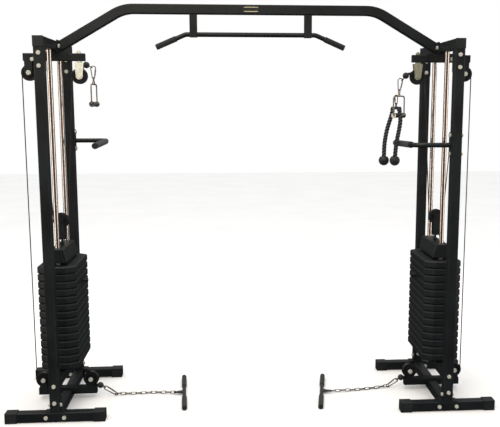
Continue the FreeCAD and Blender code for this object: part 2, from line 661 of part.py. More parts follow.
def build_pull_up_bar():
    slope = (BAR_END_Z - BAR_Z) / (BAR_END_X - BAR_KNEE_X)
    points = [V(-BAR_END_X, 0, BAR_END_Z), V(-BAR_KNEE_X, 0, BAR_Z), V(BAR_KNEE_X, 0, BAR_Z),
              V(BAR_END_X, 0, BAR_END_Z)]
    bar = swept(rounded_path(points, [45, 45]), BAR_RADIUS)
    add("pull_up_bar", [bar])
    grip_length = 118.0
    for s in (-1, 1):
        out = V(s, 0, slope).normalize()
        end = V(s * BAR_END_X, 0, BAR_END_Z)
        grip = cylinder(end - out * (grip_length - 3), out, grip_length, 15.5)
        grip = grip.makeFillet(3, [e for e in grip.Edges if e.Closed])
        add("pull_up_grips", [grip.cut(cylinder(end - out * grip_length, out, grip_length, BAR_RADIUS))])
        half = RAIL / 2
        drop = square_tube(s * DROP_X - half, s * DROP_X + half, -half, half, BAR_Z - 14, BEAM_TOP - TUBE,
                           Z_AXIS)
        add("drop_tubes", [drop.cut(cylinder(V(s * DROP_X - 60, 0, BAR_Z), X_AXIS, 120, BAR_RADIUS))])


# ---------------------------------------------------------------- attachments
def tower_point(side, xz):
    s = 1 if side == "left" else -1
    return V(s * (xz[0] - TOWER_X), 0, xz[1])


def stirrup_frame():
    """Bent wire stirrup in its own frame: grip axle along X through the origin, eye on top."""
    h, w = STIRRUP_HEIGHT, STIRRUP_HALF
    frame = swept(rounded_path([V(-w, 0, -4), V(-w, 0, h), V(w, 0, h), V(w, 0, -4)], [16, 16]), STIRRUP_WIRE)
    axle = cylinder(V(-w - 4, 0, 0), X_AXIS, 2 * w + 8, 4)
    neck = Part.makeCone(9, 5.5, STIRRUP_NECK - STIRRUP_EYE, V(0, 0, h), Z_AXIS)
    eye = torus(V(0, 0, h + STIRRUP_NECK), Y_AXIS, STIRRUP_EYE, 2.8)
    return frame.fuse(axle).fuse(neck).fuse(eye)


def stirrup_grip():
    tube = ring(V(-52, 0, 0), X_AXIS, 104, 13, 4.3)
    ends = [ring(V(x, 0, 0), X_AXIS, 6, 15, 4.3) for x in (-58, 52)]
    return [tube] + ends


def build_stirrup(side, eye, lean, turn):
    """Snap hook from the cable's eye and the stirrup that hangs on it; returns the stirrup's placement."""
    length, wide, narrow = 66.0, 12.75, 6.5
    hook = pear_loop(length, wide, narrow, HOOK_WIRE)
    away = 1 if side == "left" else -1
    top = eye + V(away * wide * 0.96, 0, EYE_WIRE + HOOK_WIRE + 1.05)
    spin = FreeCAD.Rotation(Y_AXIS, lean)
    add(side + "_high_hook", [moved(hook, FreeCAD.Placement(top, spin))])
    bottom = top + spin.multVec(V(0, 0, -length))
    ring_centre = bottom - V(0, 0, STIRRUP_EYE - 2.8 - HOOK_WIRE - 0.3)
    place = FreeCAD.Placement(ring_centre - V(0, 0, STIRRUP_HEIGHT + STIRRUP_NECK),
                              FreeCAD.Rotation(Z_AXIS, turn))
    hook_room = moved(hook, FreeCAD.Placement(top, spin))
    add(side + "_stirrup", [moved(stirrup_frame(), place).cut(hook_room)])
    add(side + "_stirrup_grip", [moved(g, place) for g in stirrup_grip()])
    print(side, "stirrup ring", ring_centre, "grip", place.Base, "hook top", top)
    return place


def rope_points():
    """Route of both rope legs from the collar to the rubber ends."""
    left = [V(781, -11, 1618), V(776, -7, 1590), V(767, -3, 1558), V(754, -1, 1514), V(744, -4, 1466),
            V(738, -8, 1420), V(737, -10, 1388), V(736.5, -11, 1360)]
    right = [V(810, -37, 1618), V(815.5, -43, 1590), V(817, -46, 1558), V(811, -48, 1514), V(802, -47, 1466),
             V(796, -43, 1420), V(794, -40, 1388), V(793, -37, 1360)]
    return {"left": left, "right": right}


def build_rope(place):
    """Pull-down rope hung from the stirrup's top bar by its own hook."""
    hang = place.multVec(V(-32, 0, STIRRUP_HEIGHT))
    across = place.Rotation.multVec(Y_AXIS)
    length, wide, narrow = 50.0, 8.5, 7.0
    hook = pear_loop(length, wide, narrow, 2.5)
    top = hang + V(0, 0, STIRRUP_WIRE + 2.5 + 0.4)
    turned = place.Rotation.multiply(FreeCAD.Rotation(Z_AXIS, 90))
    add("rope_hook", [moved(hook, FreeCAD.Placement(top, turned))])
    eye_centre = top - V(0, 0, length + 7.5 - 2.5 - 2.5 - 0.3)
    eye = torus(eye_centre, across, 7.5, 2.5)
    legs = rope_points()
    bottom = (legs["left"][0] + legs["right"][0]) * 0.5
    spread = legs["right"][0] - legs["left"][0]
    half = spread.Length / 2
    along = spread.normalize()
    collar = Part.makeCone(15, 8, 17, bottom, Z_AXIS)
    for s in (-1, 1):
        collar = collar.fuse(Part.makeCone(15.5, 9, 16, bottom + along * (s * half), Z_AXIS))
    collar = collar.fuse(cylinder(bottom, Z_AXIS, eye_centre.z - 7 - bottom.z, 4))
    print("rope hook foot", top - V(0, 0, length), "eye", eye_centre, "collar", bottom)
    collar = collar.fuse(eye)
    for name, points in legs.items():
        radii = cord_radii(points)
        tube = swept(rounded_path(points, radii), ROPE_RADIUS)
        length = sum((b - a).Length for a, b in zip(points, points[1:]))
        print("rope", name, "radii", [round(r) for r in radii], "runs", round(length),
              "volume ratio", round(tube.Volume / (math.pi * ROPE_RADIUS ** 2 * length), 3))
        add("rope_leg_" + name, [tube])
        collar = collar.cut(tube)
        end = points[-1]
        heading = (points[-1] - points[-2]).normalize()
        cup = Part.makeSphere(BELL_RADIUS, end + heading * 22)
        lid = cylinder(end - heading * 60, heading, 60, 60)
        cup = cup.cut(lid).fuse(cylinder(end, heading, 20, 17))
        add("rope_fittings", [cup.cut(tube)])
    add("rope_fittings", [collar])


def chain_link():
    """One welded link along X, centred on the origin, lying in XY."""
    end = LINK_PITCH / 2 + LINK_WIRE
    r = 6.5
    s = end - r
    edges = [line(V(-s, r, 0), V(s, r, 0)), Part.Arc(V(s, r, 0), V(end, 0, 0), V(s, -r, 0)).toShape(),
             line(V(s, -r, 0), V(-s, -r, 0)), Part.Arc(V(-s, -r, 0), V(-end, 0, 0), V(-s, r, 0)).toShape()]
    return swept(edges, LINK_WIRE)


def heading_placement(point, direction, roll):
    """Place something drawn along +X so that it runs along a direction, rolled about it."""
    flat = math.degrees(math.atan2(direction.y, direction.x))
    climb = math.degrees(math.atan2(direction.z, math.hypot(direction.x, direction.y)))
    turn = FreeCAD.Rotation(Z_AXIS, flat).multiply(FreeCAD.Rotation(Y_AXIS, -climb))
    return FreeCAD.Placement(point, turn.multiply(FreeCAD.Rotation(X_AXIS, roll)))


def straight_bar():
    """Straight pull bar along Y through the origin with a flat eye towards -X, and its two grips."""
    half = FLOOR_BAR_LENGTH / 2
    bar = cylinder(V(0, -half + 4, 0), Y_AXIS, 2 * half - 8, 10)
    tongue = Part.Face(Part.makePolygon([V(0, -20, -3), V(0, 20, -3), V(-50, 7, -3), V(-50, -7, -3),
                                         V(0, -20, -3)])).extrude(V(0, 0, 6))
    tongue = tongue.fuse(cylinder(V(-50, 0, -3), Z_AXIS, 6, 9.5))
    tongue = tongue.cut(cylinder(V(-50, 0, -9), Z_AXIS, 18, 4.6))
    grips = []
    for s in (-1, 1):
        grip = cylinder(V(0, s * half, 0), V(0, -s, 0), FLOOR_GRIP_LENGTH, 14)
        grip = grip.makeFillet(4, [e for e in grip.Edges if e.Closed])
        grips.append(grip.cut(bar))
    return bar.fuse(tongue), grips


def build_low_attachment(side, bar_centre, bar_turn, hook_end, bends):
    """Hook, chain and straight bar that lie on the floor beside a tower."""
    away = 1 if side == "left" else -1
    eye = tower_point(side, LOW_BALL_XZ) + V(away * LOW_EYE_STEP[0], 0, LOW_EYE_STEP[1])
    run = hook_end - eye
    climb = math.degrees(math.atan2(-run.z, math.hypot(run.x, run.y)))
    hook = pear_loop(run.Length + 12, 10, 6.5, HOOK_WIRE)
    start = eye
    heading = math.degrees(math.atan2(run.y, run.x))
    aim = FreeCAD.Rotation(Z_AXIS, heading).multiply(FreeCAD.Rotation(Y_AXIS, -90 + climb))
    hook = moved(hook, FreeCAD.Placement(start, aim))
    add(side + "_chain", [hook])
    bar_place = FreeCAD.Placement(bar_centre, FreeCAD.Rotation(Z_AXIS, bar_turn))
    tip = bar_place.multVec(V(-50, 0, 0))
    stops = [hook_end] + bends + [tip]
    total = sum((b - a).Length for a, b in zip(stops, stops[1:]))
    count = int(round(total / LINK_PITCH))
    pitch = total / count
    for i in range(count):
        a = along(stops, pitch * i)
        b = along(stops, pitch * (i + 1))
        roll = 45 if i % 2 else -45
        link = moved(chain_link(), heading_placement((a + b) * 0.5, b - a, roll))
        add(side + "_chain", [link])
    bar, grips = straight_bar()
    add(side + "_straight_bar", [moved(bar, bar_place).cut(link)] + [moved(g, bar_place) for g in grips])
    print(side, "chain", round(total), "links", count, "pitch", round(pitch, 2))


def along(stops, distance):
    """Point at a distance along a route of straight runs."""
    for a, b in zip(stops, stops[1:]):
        run = (b - a).Length
        if distance <= run + 1e-6:
            return a + (b - a) * (distance / run)
        distance -= run
    return stops[-1]


def build_attachments():
    left_eye = tower_point("left", HIGH_BALL_XZ["left"]) + V(HIGH_EYE_STEP["left"][0], 0,
                                                             HIGH_EYE_STEP["left"][1])
    right_eye = tower_point("right", HIGH_BALL_XZ["right"]) + V(-HIGH_EYE_STEP["right"][0], 0,
                                                                HIGH_EYE_STEP["right"][1])
    build_stirrup("left", left_eye, 0, 86.5)
    place = build_stirrup("right", right_eye, 5, 48.5)
    build_rope(place)
    build_low_attachment("left", V(-393, 0, 14), 3.3, V(-782, 4, 13), [V(-700, 12, 8), V(-560, 20, 8)])
    build_low_attachment("right", V(396, -37, 14), 180 - 8.6, V(798, 18, 13), [V(720, 2, 8), V(600, -22, 8)])


def main():
    build_towers()
    build_beam()
    build_pull_up_bar()
    build_attachments()
    os.makedirs("parts", exist_ok=True)
    for name, solids in sorted(nodes.items()):
        bad = [s for s in solids if not s.isValid() or s.Volume <= 0]
        print(name, len(solids), "solids", "INVALID" if bad else "")
        single = [t for s in solids for t in s.Solids]
        Part.makeCompound(single).exportStep("parts/" + name + ".step")
    print(len(nodes), "nodes")


main()
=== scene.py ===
# %% [markdown]
# # A cable crossover station, finished in cells
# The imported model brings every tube, plate, wheel and bolt at its real size. This lesson dresses it:
# each cell takes one piece or one finish, says what it is on the real machine, and makes it.

# %% Load the frame
import json
import math
import bpy
import bmesh
import numpy as np
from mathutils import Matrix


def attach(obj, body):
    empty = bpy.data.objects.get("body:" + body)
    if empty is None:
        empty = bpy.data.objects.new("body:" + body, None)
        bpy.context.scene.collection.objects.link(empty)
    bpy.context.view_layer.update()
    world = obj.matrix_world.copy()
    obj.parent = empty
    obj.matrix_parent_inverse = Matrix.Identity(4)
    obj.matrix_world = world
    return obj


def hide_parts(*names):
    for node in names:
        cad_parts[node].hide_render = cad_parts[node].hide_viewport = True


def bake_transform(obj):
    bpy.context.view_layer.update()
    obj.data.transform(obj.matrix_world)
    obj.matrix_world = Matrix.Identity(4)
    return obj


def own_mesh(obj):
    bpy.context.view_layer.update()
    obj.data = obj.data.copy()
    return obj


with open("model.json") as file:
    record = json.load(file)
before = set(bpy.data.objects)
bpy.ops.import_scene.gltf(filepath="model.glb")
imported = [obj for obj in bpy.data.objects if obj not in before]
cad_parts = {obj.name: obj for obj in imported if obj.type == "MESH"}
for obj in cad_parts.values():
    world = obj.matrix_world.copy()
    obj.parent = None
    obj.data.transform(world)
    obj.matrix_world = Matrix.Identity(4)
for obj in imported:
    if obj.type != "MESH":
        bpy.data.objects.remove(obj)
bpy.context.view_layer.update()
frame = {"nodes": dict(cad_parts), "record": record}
MM = 0.001
SIDES = ("left", "right")

# %% [markdown]
# ## The camera
# The machine is seen from standing height, a little left of its middle. A long lens keeps the towers
# upright, and a small sideways shift puts the axis of the lens right of the frame's centre. The camera
# comes first because cords are checked against what it sees.

# %% Camera
SENSOR_WIDTH = 36.0
LENS_PER_WIDTH = 1.47362
TILT_DOWN, TURN_RIGHT = 8.395, 3.985
camera_data = bpy.data.cameras.new("studio_camera")
camera_data.sensor_width = SENSOR_WIDTH
camera_data.lens = SENSOR_WIDTH * LENS_PER_WIDTH
camera_data.shift_x = -0.054
camera_data.shift_y = 0.0006
camera = bpy.data.objects.new("studio_camera", camera_data)
bpy.context.scene.collection.objects.link(camera)
camera.location = (-0.1427, -4.0653, 1.6425)
camera.rotation_euler = (math.radians(90 - TILT_DOWN), 0, math.radians(-TURN_RIGHT))
bpy.context.scene.camera = camera
print("lens", round(camera_data.lens, 2), "mm")

# %% [markdown]
# ## Surfaces from arrays
# Every new piece is a grid of points worked out in one go. A grid that closes on itself round the
# section is a tube; one small function turns any such grid into faces with a UV map, whose U runs
# round the section and V along it, both in metres.

# %% Grid helper
CRISP_ANGLE = math.radians(40)


def grid_object(name, points):
    """Make a tube from points[ring, spoke, xyz]: quads join each ring to the next and each spoke to the
    next one round, and the two end rings are closed by one flat face each."""
    rings, spokes, _ = points.shape
    index = np.arange(rings * spokes).reshape(rings, spokes)
    turned = np.roll(index, -1, axis=1)
    quads = np.stack([index[:-1], turned[:-1], turned[1:], index[1:]], axis=-1).reshape(-1, 4)
    faces = quads.tolist() + [index[0, ::-1].tolist(), index[-1].tolist()]
    mesh = bpy.data.meshes.new(name)
    mesh.from_pydata(points.reshape(-1, 3).tolist(), [], faces)
    steps = np.linalg.norm(np.diff(points.mean(axis=1), axis=0), axis=1)
    along = np.concatenate([[0.0], np.cumsum(steps)])
    girth = np.linalg.norm(points[0, 0] - points[0].mean(axis=0)) * 2 * np.pi
    around = np.linspace(0, girth, spokes + 1)
    layer = mesh.uv_layers.new(name="UVMap")
    corners = np.zeros((len(mesh.loops), 2))
    u = np.stack([around[:-1], around[1:], around[1:], around[:-1]], axis=-1)
    v = np.stack([along[:-1], along[:-1], along[1:], along[1:]], axis=-1)
    body = np.zeros((rings - 1, spokes, 4, 2))
    body[..., 0] = u[None]
    body[..., 1] = v[:, None]
    corners[: len(quads) * 4] = body.reshape(-1, 2)
    layer.data.foreach_set("uv", corners.ravel())
    piece = bpy.data.objects.new(name, mesh)
    bpy.context.scene.collection.objects.link(piece)
    smooth(piece)
    return piece


def smooth(piece):
    """Shade a piece smoothly, and keep edges sharper than the crisp angle hard."""
    mesh = piece.data
    mesh.polygons.foreach_set("use_smooth", np.ones(len(mesh.polygons), dtype=bool))
    mesh.update()
    work = bmesh.new()
    work.from_mesh(mesh)
    bmesh.ops.recalc_face_normals(work, faces=work.faces)
    for edge in work.edges:
        edge.smooth = len(edge.link_faces) == 2 and edge.calc_face_angle() < CRISP_ANGLE
    work.to_mesh(mesh)
    work.free()


def frames_along(path):
    """Directions across a path: side is the y axis crossed with the heading, and lift completes the
    three, so a section drawn on side and lift stands square to the path."""
    heading = np.gradient(path, axis=0)
    heading /= np.linalg.norm(heading, axis=1)[:, None]
    side = np.cross(np.broadcast_to((0.0, 1.0, 0.0), heading.shape), heading)
    side /= np.linalg.norm(side, axis=1)[:, None]
    return side, np.cross(heading, side)


def tube_grid(path, radius, spokes):
    """Point = path + radius (cos a side + sin a lift), with a round the section. The radius may be one
    number or one for each point of the path."""
    side, lift = frames_along(path)
    turn = np.linspace(0, 2 * np.pi, spokes, endpoint=False)
    reach = np.broadcast_to(np.asarray(radius, float), (len(path),))[:, None, None]
    ring = np.cos(turn)[None, :, None] * side[:, None] + np.sin(turn)[None, :, None] * lift[:, None]
    return path[:, None] + reach * ring


def join(name, pieces):
    """Gather several meshes into one piece."""
    work = bmesh.new()
    for piece in pieces:
        work.from_mesh(piece.data)
    mesh = bpy.data.meshes.new(name)
    work.to_mesh(mesh)
    work.free()
    for piece in pieces:
        bpy.data.objects.remove(piece)
    joined = bpy.data.objects.new(name, mesh)
    bpy.context.scene.collection.objects.link(joined)
    return joined


print("grid pieces keep edges sharper than", round(math.degrees(CRISP_ANGLE)), "degrees hard")

# %% [markdown]
# ## The pull-down rope
# Two legs of thick black rope hang from one collar, each in a rubber end. Real rope of this kind is
# three strands laid round each other. Each strand is a tube that winds round the leg's line: that line
# is a smooth spline that follows the leg's own route, read back as points, and the winding turns once
# in 51 mm, a tight lay for hard use. A rope 25 mm thick hangs nearly straight and barely bends.

# %% Rope legs
ROPE_DIAMETER = 25 * MM
ROPE_LAY = 51 * MM
STRAND_RADIUS = 5.8 * MM
STRANDS, STRAND_SPOKES, STEPS_PER_SPAN = 3, 16, 24
ROPE_ROUTES = {
    "left": [(781, -11, 1618), (776, -7, 1590), (767, -3, 1558), (754, -1, 1514), (744, -4, 1466),
             (738, -8, 1420), (737, -10, 1388), (736.5, -11, 1360)],
    "right": [(810, -37, 1618), (815.5, -43, 1590), (817, -46, 1558), (811, -48, 1514), (802, -47, 1466),
              (796, -43, 1420), (794, -40, 1388), (793, -37, 1360)],
}


def spline_points(route, name):
    """Points along the smooth line of a route, evenly fine."""
    curve = bpy.data.curves.new(name, "CURVE")
    curve.dimensions = "3D"
    spline = curve.splines.new("NURBS")
    spline.points.add(len(route) - 1)
    spline.points.foreach_set("co", np.hstack([np.array(route) * MM, np.ones((len(route), 1))]).ravel())
    spline.order_u = 3
    spline.use_endpoint_u = True
    spline.resolution_u = STEPS_PER_SPAN
    holder = bpy.data.objects.new(name, curve)
    line = bpy.data.meshes.new_from_object(holder)
    points = np.zeros(len(line.vertices) * 3)
    line.vertices.foreach_get("co", points)
    bpy.data.objects.remove(holder)
    return points.reshape(-1, 3)


def rope_leg(side):
    """Three strands: strand k's centre = line + r (cos(w s + 2 pi k / 3) side + sin(...) lift), where s is
    the length along the line and w one turn for each lay. The attribute rise is each point's distance from
    the line over the rope's radius: 1 on the crests, less in the grooves. The rope's colour reads it to
    paint shade into the grooves and a highlight on the crests."""
    line = spline_points(ROPE_ROUTES[side], "rope_line_" + side)
    steps = np.linalg.norm(np.diff(line, axis=0), axis=1)
    length = np.concatenate([[0.0], np.cumsum(steps)])
    across, lift = frames_along(line)
    ring = ROPE_DIAMETER / 2 - STRAND_RADIUS
    pieces = []
    for k in range(STRANDS):
        angle = 2 * np.pi * (length / ROPE_LAY + k / STRANDS)
        centre = line + ring * (np.cos(angle)[:, None] * across + np.sin(angle)[:, None] * lift)
        pieces.append(grid_object("strand", tube_grid(centre, STRAND_RADIUS, STRAND_SPOKES)))
    leg = join("rope_strands_" + side, pieces)
    points = np.zeros(len(leg.data.vertices) * 3)
    leg.data.vertices.foreach_get("co", points)
    gaps = np.linalg.norm(points.reshape(-1, 1, 3) - line[None], axis=2).min(axis=1)
    rise = leg.data.attributes.new("rise", "FLOAT", "POINT")
    rise.data.foreach_set("value", gaps / (ROPE_DIAMETER / 2))
    print("rope leg", side, round(float(length[-1]), 3), "m")
    return leg, line, float(length[-1])


rope_legs = {}
for side in SIDES:
    leg, line, length = rope_leg(side)
    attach(leg, "pull_down_rope")
    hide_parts("rope_leg_" + side)
    rope_legs[side] = leg

# %% [markdown]
# ## One way to make a material
# A finish is a node tree. One helper adds any node with its settings and its links, and one turns the
# sRGB hex colours that designers use into the linear light values that shaders want.

# %% Material helpers
def linear(code):
    """sRGB hex to linear: each channel is divided by 255, then bent by the sRGB curve."""
    channels = np.array([int(code[i:i + 2], 16) for i in (1, 3, 5)]) / 255.0
    low = channels <= 0.04045
    bent = np.where(low, channels / 12.92, ((channels + 0.055) / 1.055) ** 2.4)
    return (*bent.tolist(), 1.0)


def add_node(tree, kind, settings=None, links=None, feeds=None):
    """Add a node. Settings name its properties, its inputs or a colour ramp's (place, hex) stops; links
    name inputs and the output that drives each; feeds name outputs and the input that each drives."""
    node = tree.nodes.new("ShaderNode" + kind)
    for key, value in (settings or {}).items():
        if key == "stops":
            elements = node.color_ramp.elements
            while len(elements) < len(value):
                elements.new(0.5)
            for element, (place, code) in zip(elements, value):
                element.position = place
                element.color = linear(code)
        elif isinstance(key, str) and hasattr(node, key):
            setattr(node, key, value)
        else:
            node.inputs[key].default_value = value
    for key, output in (links or {}).items():
        tree.links.new(output, node.inputs[key])
    for key, socket in (feeds or {}).items():
        tree.links.new(node.outputs[key], socket)
    return node


def new_material(name, settings):
    """A material with one Principled shader, ready for its patterns."""
    material = bpy.data.materials.new(name)
    material.use_nodes = True
    tree = material.node_tree
    shader = tree.nodes["Principled BSDF"]
    for key, value in settings.items():
        shader.inputs[key].default_value = value
    return material, tree, shader


def object_noise(tree, scale, detail=4.0, roughness=0.55, stretch=(1, 1, 1)):
    """Noise over the object's own coordinates; scale is cells per metre."""
    place = add_node(tree, "TexCoord").outputs["Object"]
    mapped = add_node(tree, "Mapping", {"Scale": stretch}, {"Vector": place}).outputs["Vector"]
    return add_node(tree, "TexNoise", {"Scale": scale, "Detail": detail, "Roughness": roughness},
                    {"Vector": mapped}).outputs["Fac"]


def weathered(name, settings, colour, gloss, cloud, grain):
    """The pattern that most finishes share: a cloud of noise picks the colour between the stops and moves
    the roughness between the two ends of gloss, and a grain raises the skin. Cloud holds the arguments of
    object_noise. Grain holds a second set and then the bump's distance and strength; with no set of its
    own, the bump follows the cloud."""
    material, tree, shader = new_material(name, settings)
    drift = object_noise(tree, *cloud)
    add_node(tree, "ValToRGB", {"stops": colour}, {"Fac": drift}, {"Color": shader.inputs["Base Color"]})
    add_node(tree, "MapRange", {"To Min": gloss[0], "To Max": gloss[1]}, {"Value": drift},
             {"Result": shader.inputs["Roughness"]})
    *noise, distance, strength = grain
    add_node(tree, "Bump", {"Strength": strength, "Distance": distance},
             {"Height": object_noise(tree, *noise) if noise else drift},
             {"Normal": shader.inputs["Normal"]})
    return material


print("white in linear light", linear("#ffffff"))

# %% [markdown]
# ## Powder-coated steel
# The frame is square steel tube sprayed with charcoal powder and baked. The melted powder leaves a fine
# orange peel about 2 mm across, a soft sheen, and slightly greyer places where the coat lies thick or
# has been rubbed by hands. To the eye it is nearly black, with long soft highlights down each edge.

# %% Powder coat
PEEL_CELLS = 500.0
COAT_ROUGHNESS = 0.42
powder = weathered("powder_coated_steel",
                   {"IOR": 1.5, "Roughness": COAT_ROUGHNESS, "Specular IOR Level": 0.5},
                   [(0.35, "#0a0e10"), (0.7, "#131a1d")], (COAT_ROUGHNESS - 0.06, COAT_ROUGHNESS + 0.1),
                   (5.0, 3.0), (PEEL_CELLS, 2.0, 0.4, 0.00025, 0.35))
print("powder coat peel cell", 1000 / PEEL_CELLS, "mm")

# %% [markdown]
# ## Plated metals
# The guide rods are polished chrome: a clear mirror with the faint lengthwise haze that the sliding
# weights leave. Stirrups, hooks and chains are nickel-plated wire, greyer, and the stirrup grips are
# knurled. Bolts are bright zinc, softer and a little yellow. The swivel forks are zinc with a creamy
# passivated bloom, and the left one is given a paler, brighter copy of it.

# %% Chrome and zinc
def plated(name, pale, shade, rough, cell, stretch=(1, 1, 1), lift=0.00004, metal=1.0):
    """A metal shaded and dulled by a haze of so many cells per metre, drawn out by the stretch."""
    return weathered(name, {"Metallic": metal, "Roughness": rough}, [(0.3, shade), (0.65, pale)],
                     (rough * 0.7, rough * 1.5), (cell, 5.0, 0.6, stretch), (lift, 0.4))


chrome = plated("polished_chrome_plate", "#fbf4ee", "#e0cfc4", 0.17, 25.0, (1, 1, 0.01), 0.000001)
zinc = plated("bright_zinc_plate", "#f2f0e4", "#c4c2b4", 0.34, 220.0, metal=0.55)
wire = plated("nickel_plated_wire", "#b4aea6", "#77716a", 0.22, 260.0)
pale_zinc = plated("passivated_zinc_plate", "#aeac96", "#8a8874", 0.36, 90.0, metal=0.5)
# a paler, brighter copy of the fork zinc, given to the left fork only
bright_fork = plated("fresh_zinc_plate", "#f6f4e2", "#d8d6c2", 0.42, 90.0, metal=0.3)


def knurled_chrome():
    """Diamond knurl: two sets of slanting waves, about 3 mm apart, multiplied."""
    material, tree, shader = new_material("knurled_chrome", {"Metallic": 1.0, "Roughness": 0.2})
    place = add_node(tree, "TexCoord").outputs["Object"]
    waves = []
    for tilt in (0.8, -0.8):
        turned = add_node(tree, "Mapping", {"Rotation": (tilt, tilt, 0.3)}, {"Vector": place})
        wave = add_node(tree, "TexWave", {"Scale": 100.0}, {"Vector": turned.outputs["Vector"]})
        waves.append(wave.outputs["Fac"])
    both = add_node(tree, "Math", {"operation": "MULTIPLY", 0: 0.5, 1: 0.5}, {0: waves[0], 1: waves[1]})
    add_node(tree, "ValToRGB", {"stops": [(0.0, "#77746e"), (0.6, "#e8e5df")]},
             {"Fac": both.outputs["Value"]}, {"Color": shader.inputs["Base Color"]})
    add_node(tree, "Bump", {"Strength": 0.7, "Distance": 0.0004}, {"Height": both.outputs["Value"]},
             {"Normal": shader.inputs["Normal"]})
    return material


knurl = knurled_chrome()
print("plated finishes", [finish.name for finish in (chrome, zinc, wire, pale_zinc, bright_fork, knurl)])

# %% [markdown]
# ## Plastics and rubbers
# The weights are cement in blue-black blow-moulded shells with a fine leathery grain. Pulleys are turned
# nylon, smoother and blacker. Caps, balls and rope ends are rubber or polythene with a dull bloom, and
# the grips are foam rubber with a close pimply skin.

# %% Plastics
def moulded(name, dark, pale, rough, grain_mm, depth, ior=1.49, sheen=0.0):
    """A plastic or rubber skin with a grain of so many millimetres, raised by the depth in metres."""
    return weathered(name, {"IOR": ior, "Roughness": rough, "Sheen Weight": sheen},
                     [(0.3, dark), (0.72, pale)], (rough - 0.07, rough + 0.09), (9.0, 4.0),
                     (1000.0 / grain_mm, 2.0, 0.5, depth, 0.5))


shell = moulded("blow_moulded_shell", "#080d10", "#10171b", 0.48, 2.5, 0.0004)
nylon = moulded("turned_nylon", "#0e0f11", "#191b1d", 0.36, 6.0, 0.0002, 1.53)
rubber = moulded("black_rubber", "#0f1011", "#1b1c1d", 0.55, 1.6, 0.0002, 1.52, 0.1)
cap_plastic = moulded("polythene_cap", "#101314", "#1c1f20", 0.46, 2.0, 0.0003, 1.51)
foam = moulded("foam_rubber_sleeve", "#101112", "#1c1d1e", 0.65, 1.5, 0.0005, 1.5, 0.08)
jacket = moulded("nylon_cable_jacket", "#0d0e0f", "#1a1b1c", 0.3, 3.0, 0.0001, 1.53)


def rope_fibre():
    """Twisted yarns: fine waves slant across each strand, about 4.4 mm apart. The colour is painted shade
    that darkens from the crests, where rise is 1, into the grooves, where it falls to 0.7, with a painted
    highlight on the crests."""
    material, tree, shader = new_material("polyester_rope", {"Roughness": 0.38, "Sheen Weight": 0.02})
    uv = add_node(tree, "UVMap", {"uv_map": "UVMap"}).outputs["UV"]
    turned = add_node(tree, "Mapping", {"Rotation": (0, 0, 0.6)}, {"Vector": uv})
    yarn = add_node(tree, "TexWave", {"Scale": 72.0, "Distortion": 1.5, "Detail": 2.0},
                    {"Vector": turned.outputs["Vector"]})
    rise = add_node(tree, "Attribute", {"attribute_name": "rise"}).outputs["Fac"]
    # painted shade in the grooves and a painted highlight on the crests, read from rise
    add_node(tree, "ValToRGB", {"stops": [(0.72, "#020303"), (0.9, "#15181a"), (1.0, "#3c4144")]},
             {"Fac": rise}, {"Color": shader.inputs["Base Color"]})
    add_node(tree, "Bump", {"Strength": 0.8, "Distance": 0.0008}, {"Height": yarn.outputs["Fac"]},
             {"Normal": shader.inputs["Normal"]})
    return material


rope = rope_fibre()
for side in SIDES:
    rope_legs[side].data.materials.append(rope)
print("plastics, rubbers and rope", len((shell, nylon, rubber, cap_plastic, foam, jacket, rope)))

# %% [markdown]
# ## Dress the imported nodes
# A node whose shape is right keeps it and only changes its finish, so one table of slots does the job.

# %% Assign finishes
FINISH = {
    "powder_coat": powder, "chrome_rod": chrome, "zinc_fastener": zinc, "pale_zinc": pale_zinc,
    "nylon": nylon, "weight_shell": shell, "rubber": rubber, "foam_grip": foam, "cable_jacket": jacket,
    "rope": rope, "cap_plastic": cap_plastic, "pin_steel": cap_plastic,
}


def dress(piece, material):
    """Give a piece this one material."""
    piece.data.materials.clear()
    piece.data.materials.append(material)


slot_of = {entry["node"]: entry["material_slot"] for entry in frame["record"]["subparts"]}
body_of = {node: body for body, names in frame["record"]["behaviour"]["bodies"].items() for node in names}
for name, piece in frame["nodes"].items():
    dress(piece, FINISH[slot_of[name]])
for side in SIDES:
    dress(frame["nodes"][side + "_stirrup_grip"], knurl)
    for name in ("_stirrup", "_high_hook", "_chain"):
        dress(frame["nodes"][side + name], wire)
dress(frame["nodes"]["rope_hook"], wire)
dress(frame["nodes"]["left_swivel_fork"], bright_fork)
print("dressed", len(slot_of), "nodes")

# %% [markdown]
# ## Rounded mouldings
# Moulded pieces have no sharp edge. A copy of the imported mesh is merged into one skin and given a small
# bevel, which catches a thin highlight along every rim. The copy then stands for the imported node.

# %% Bevelled copies
WELD, SHORTEST_EDGE, BEVEL_STEPS = 0.01 * MM, 18 * MM, 3
FLAT_ANGLE, BEVEL_ANGLE = math.radians(1), math.radians(25)


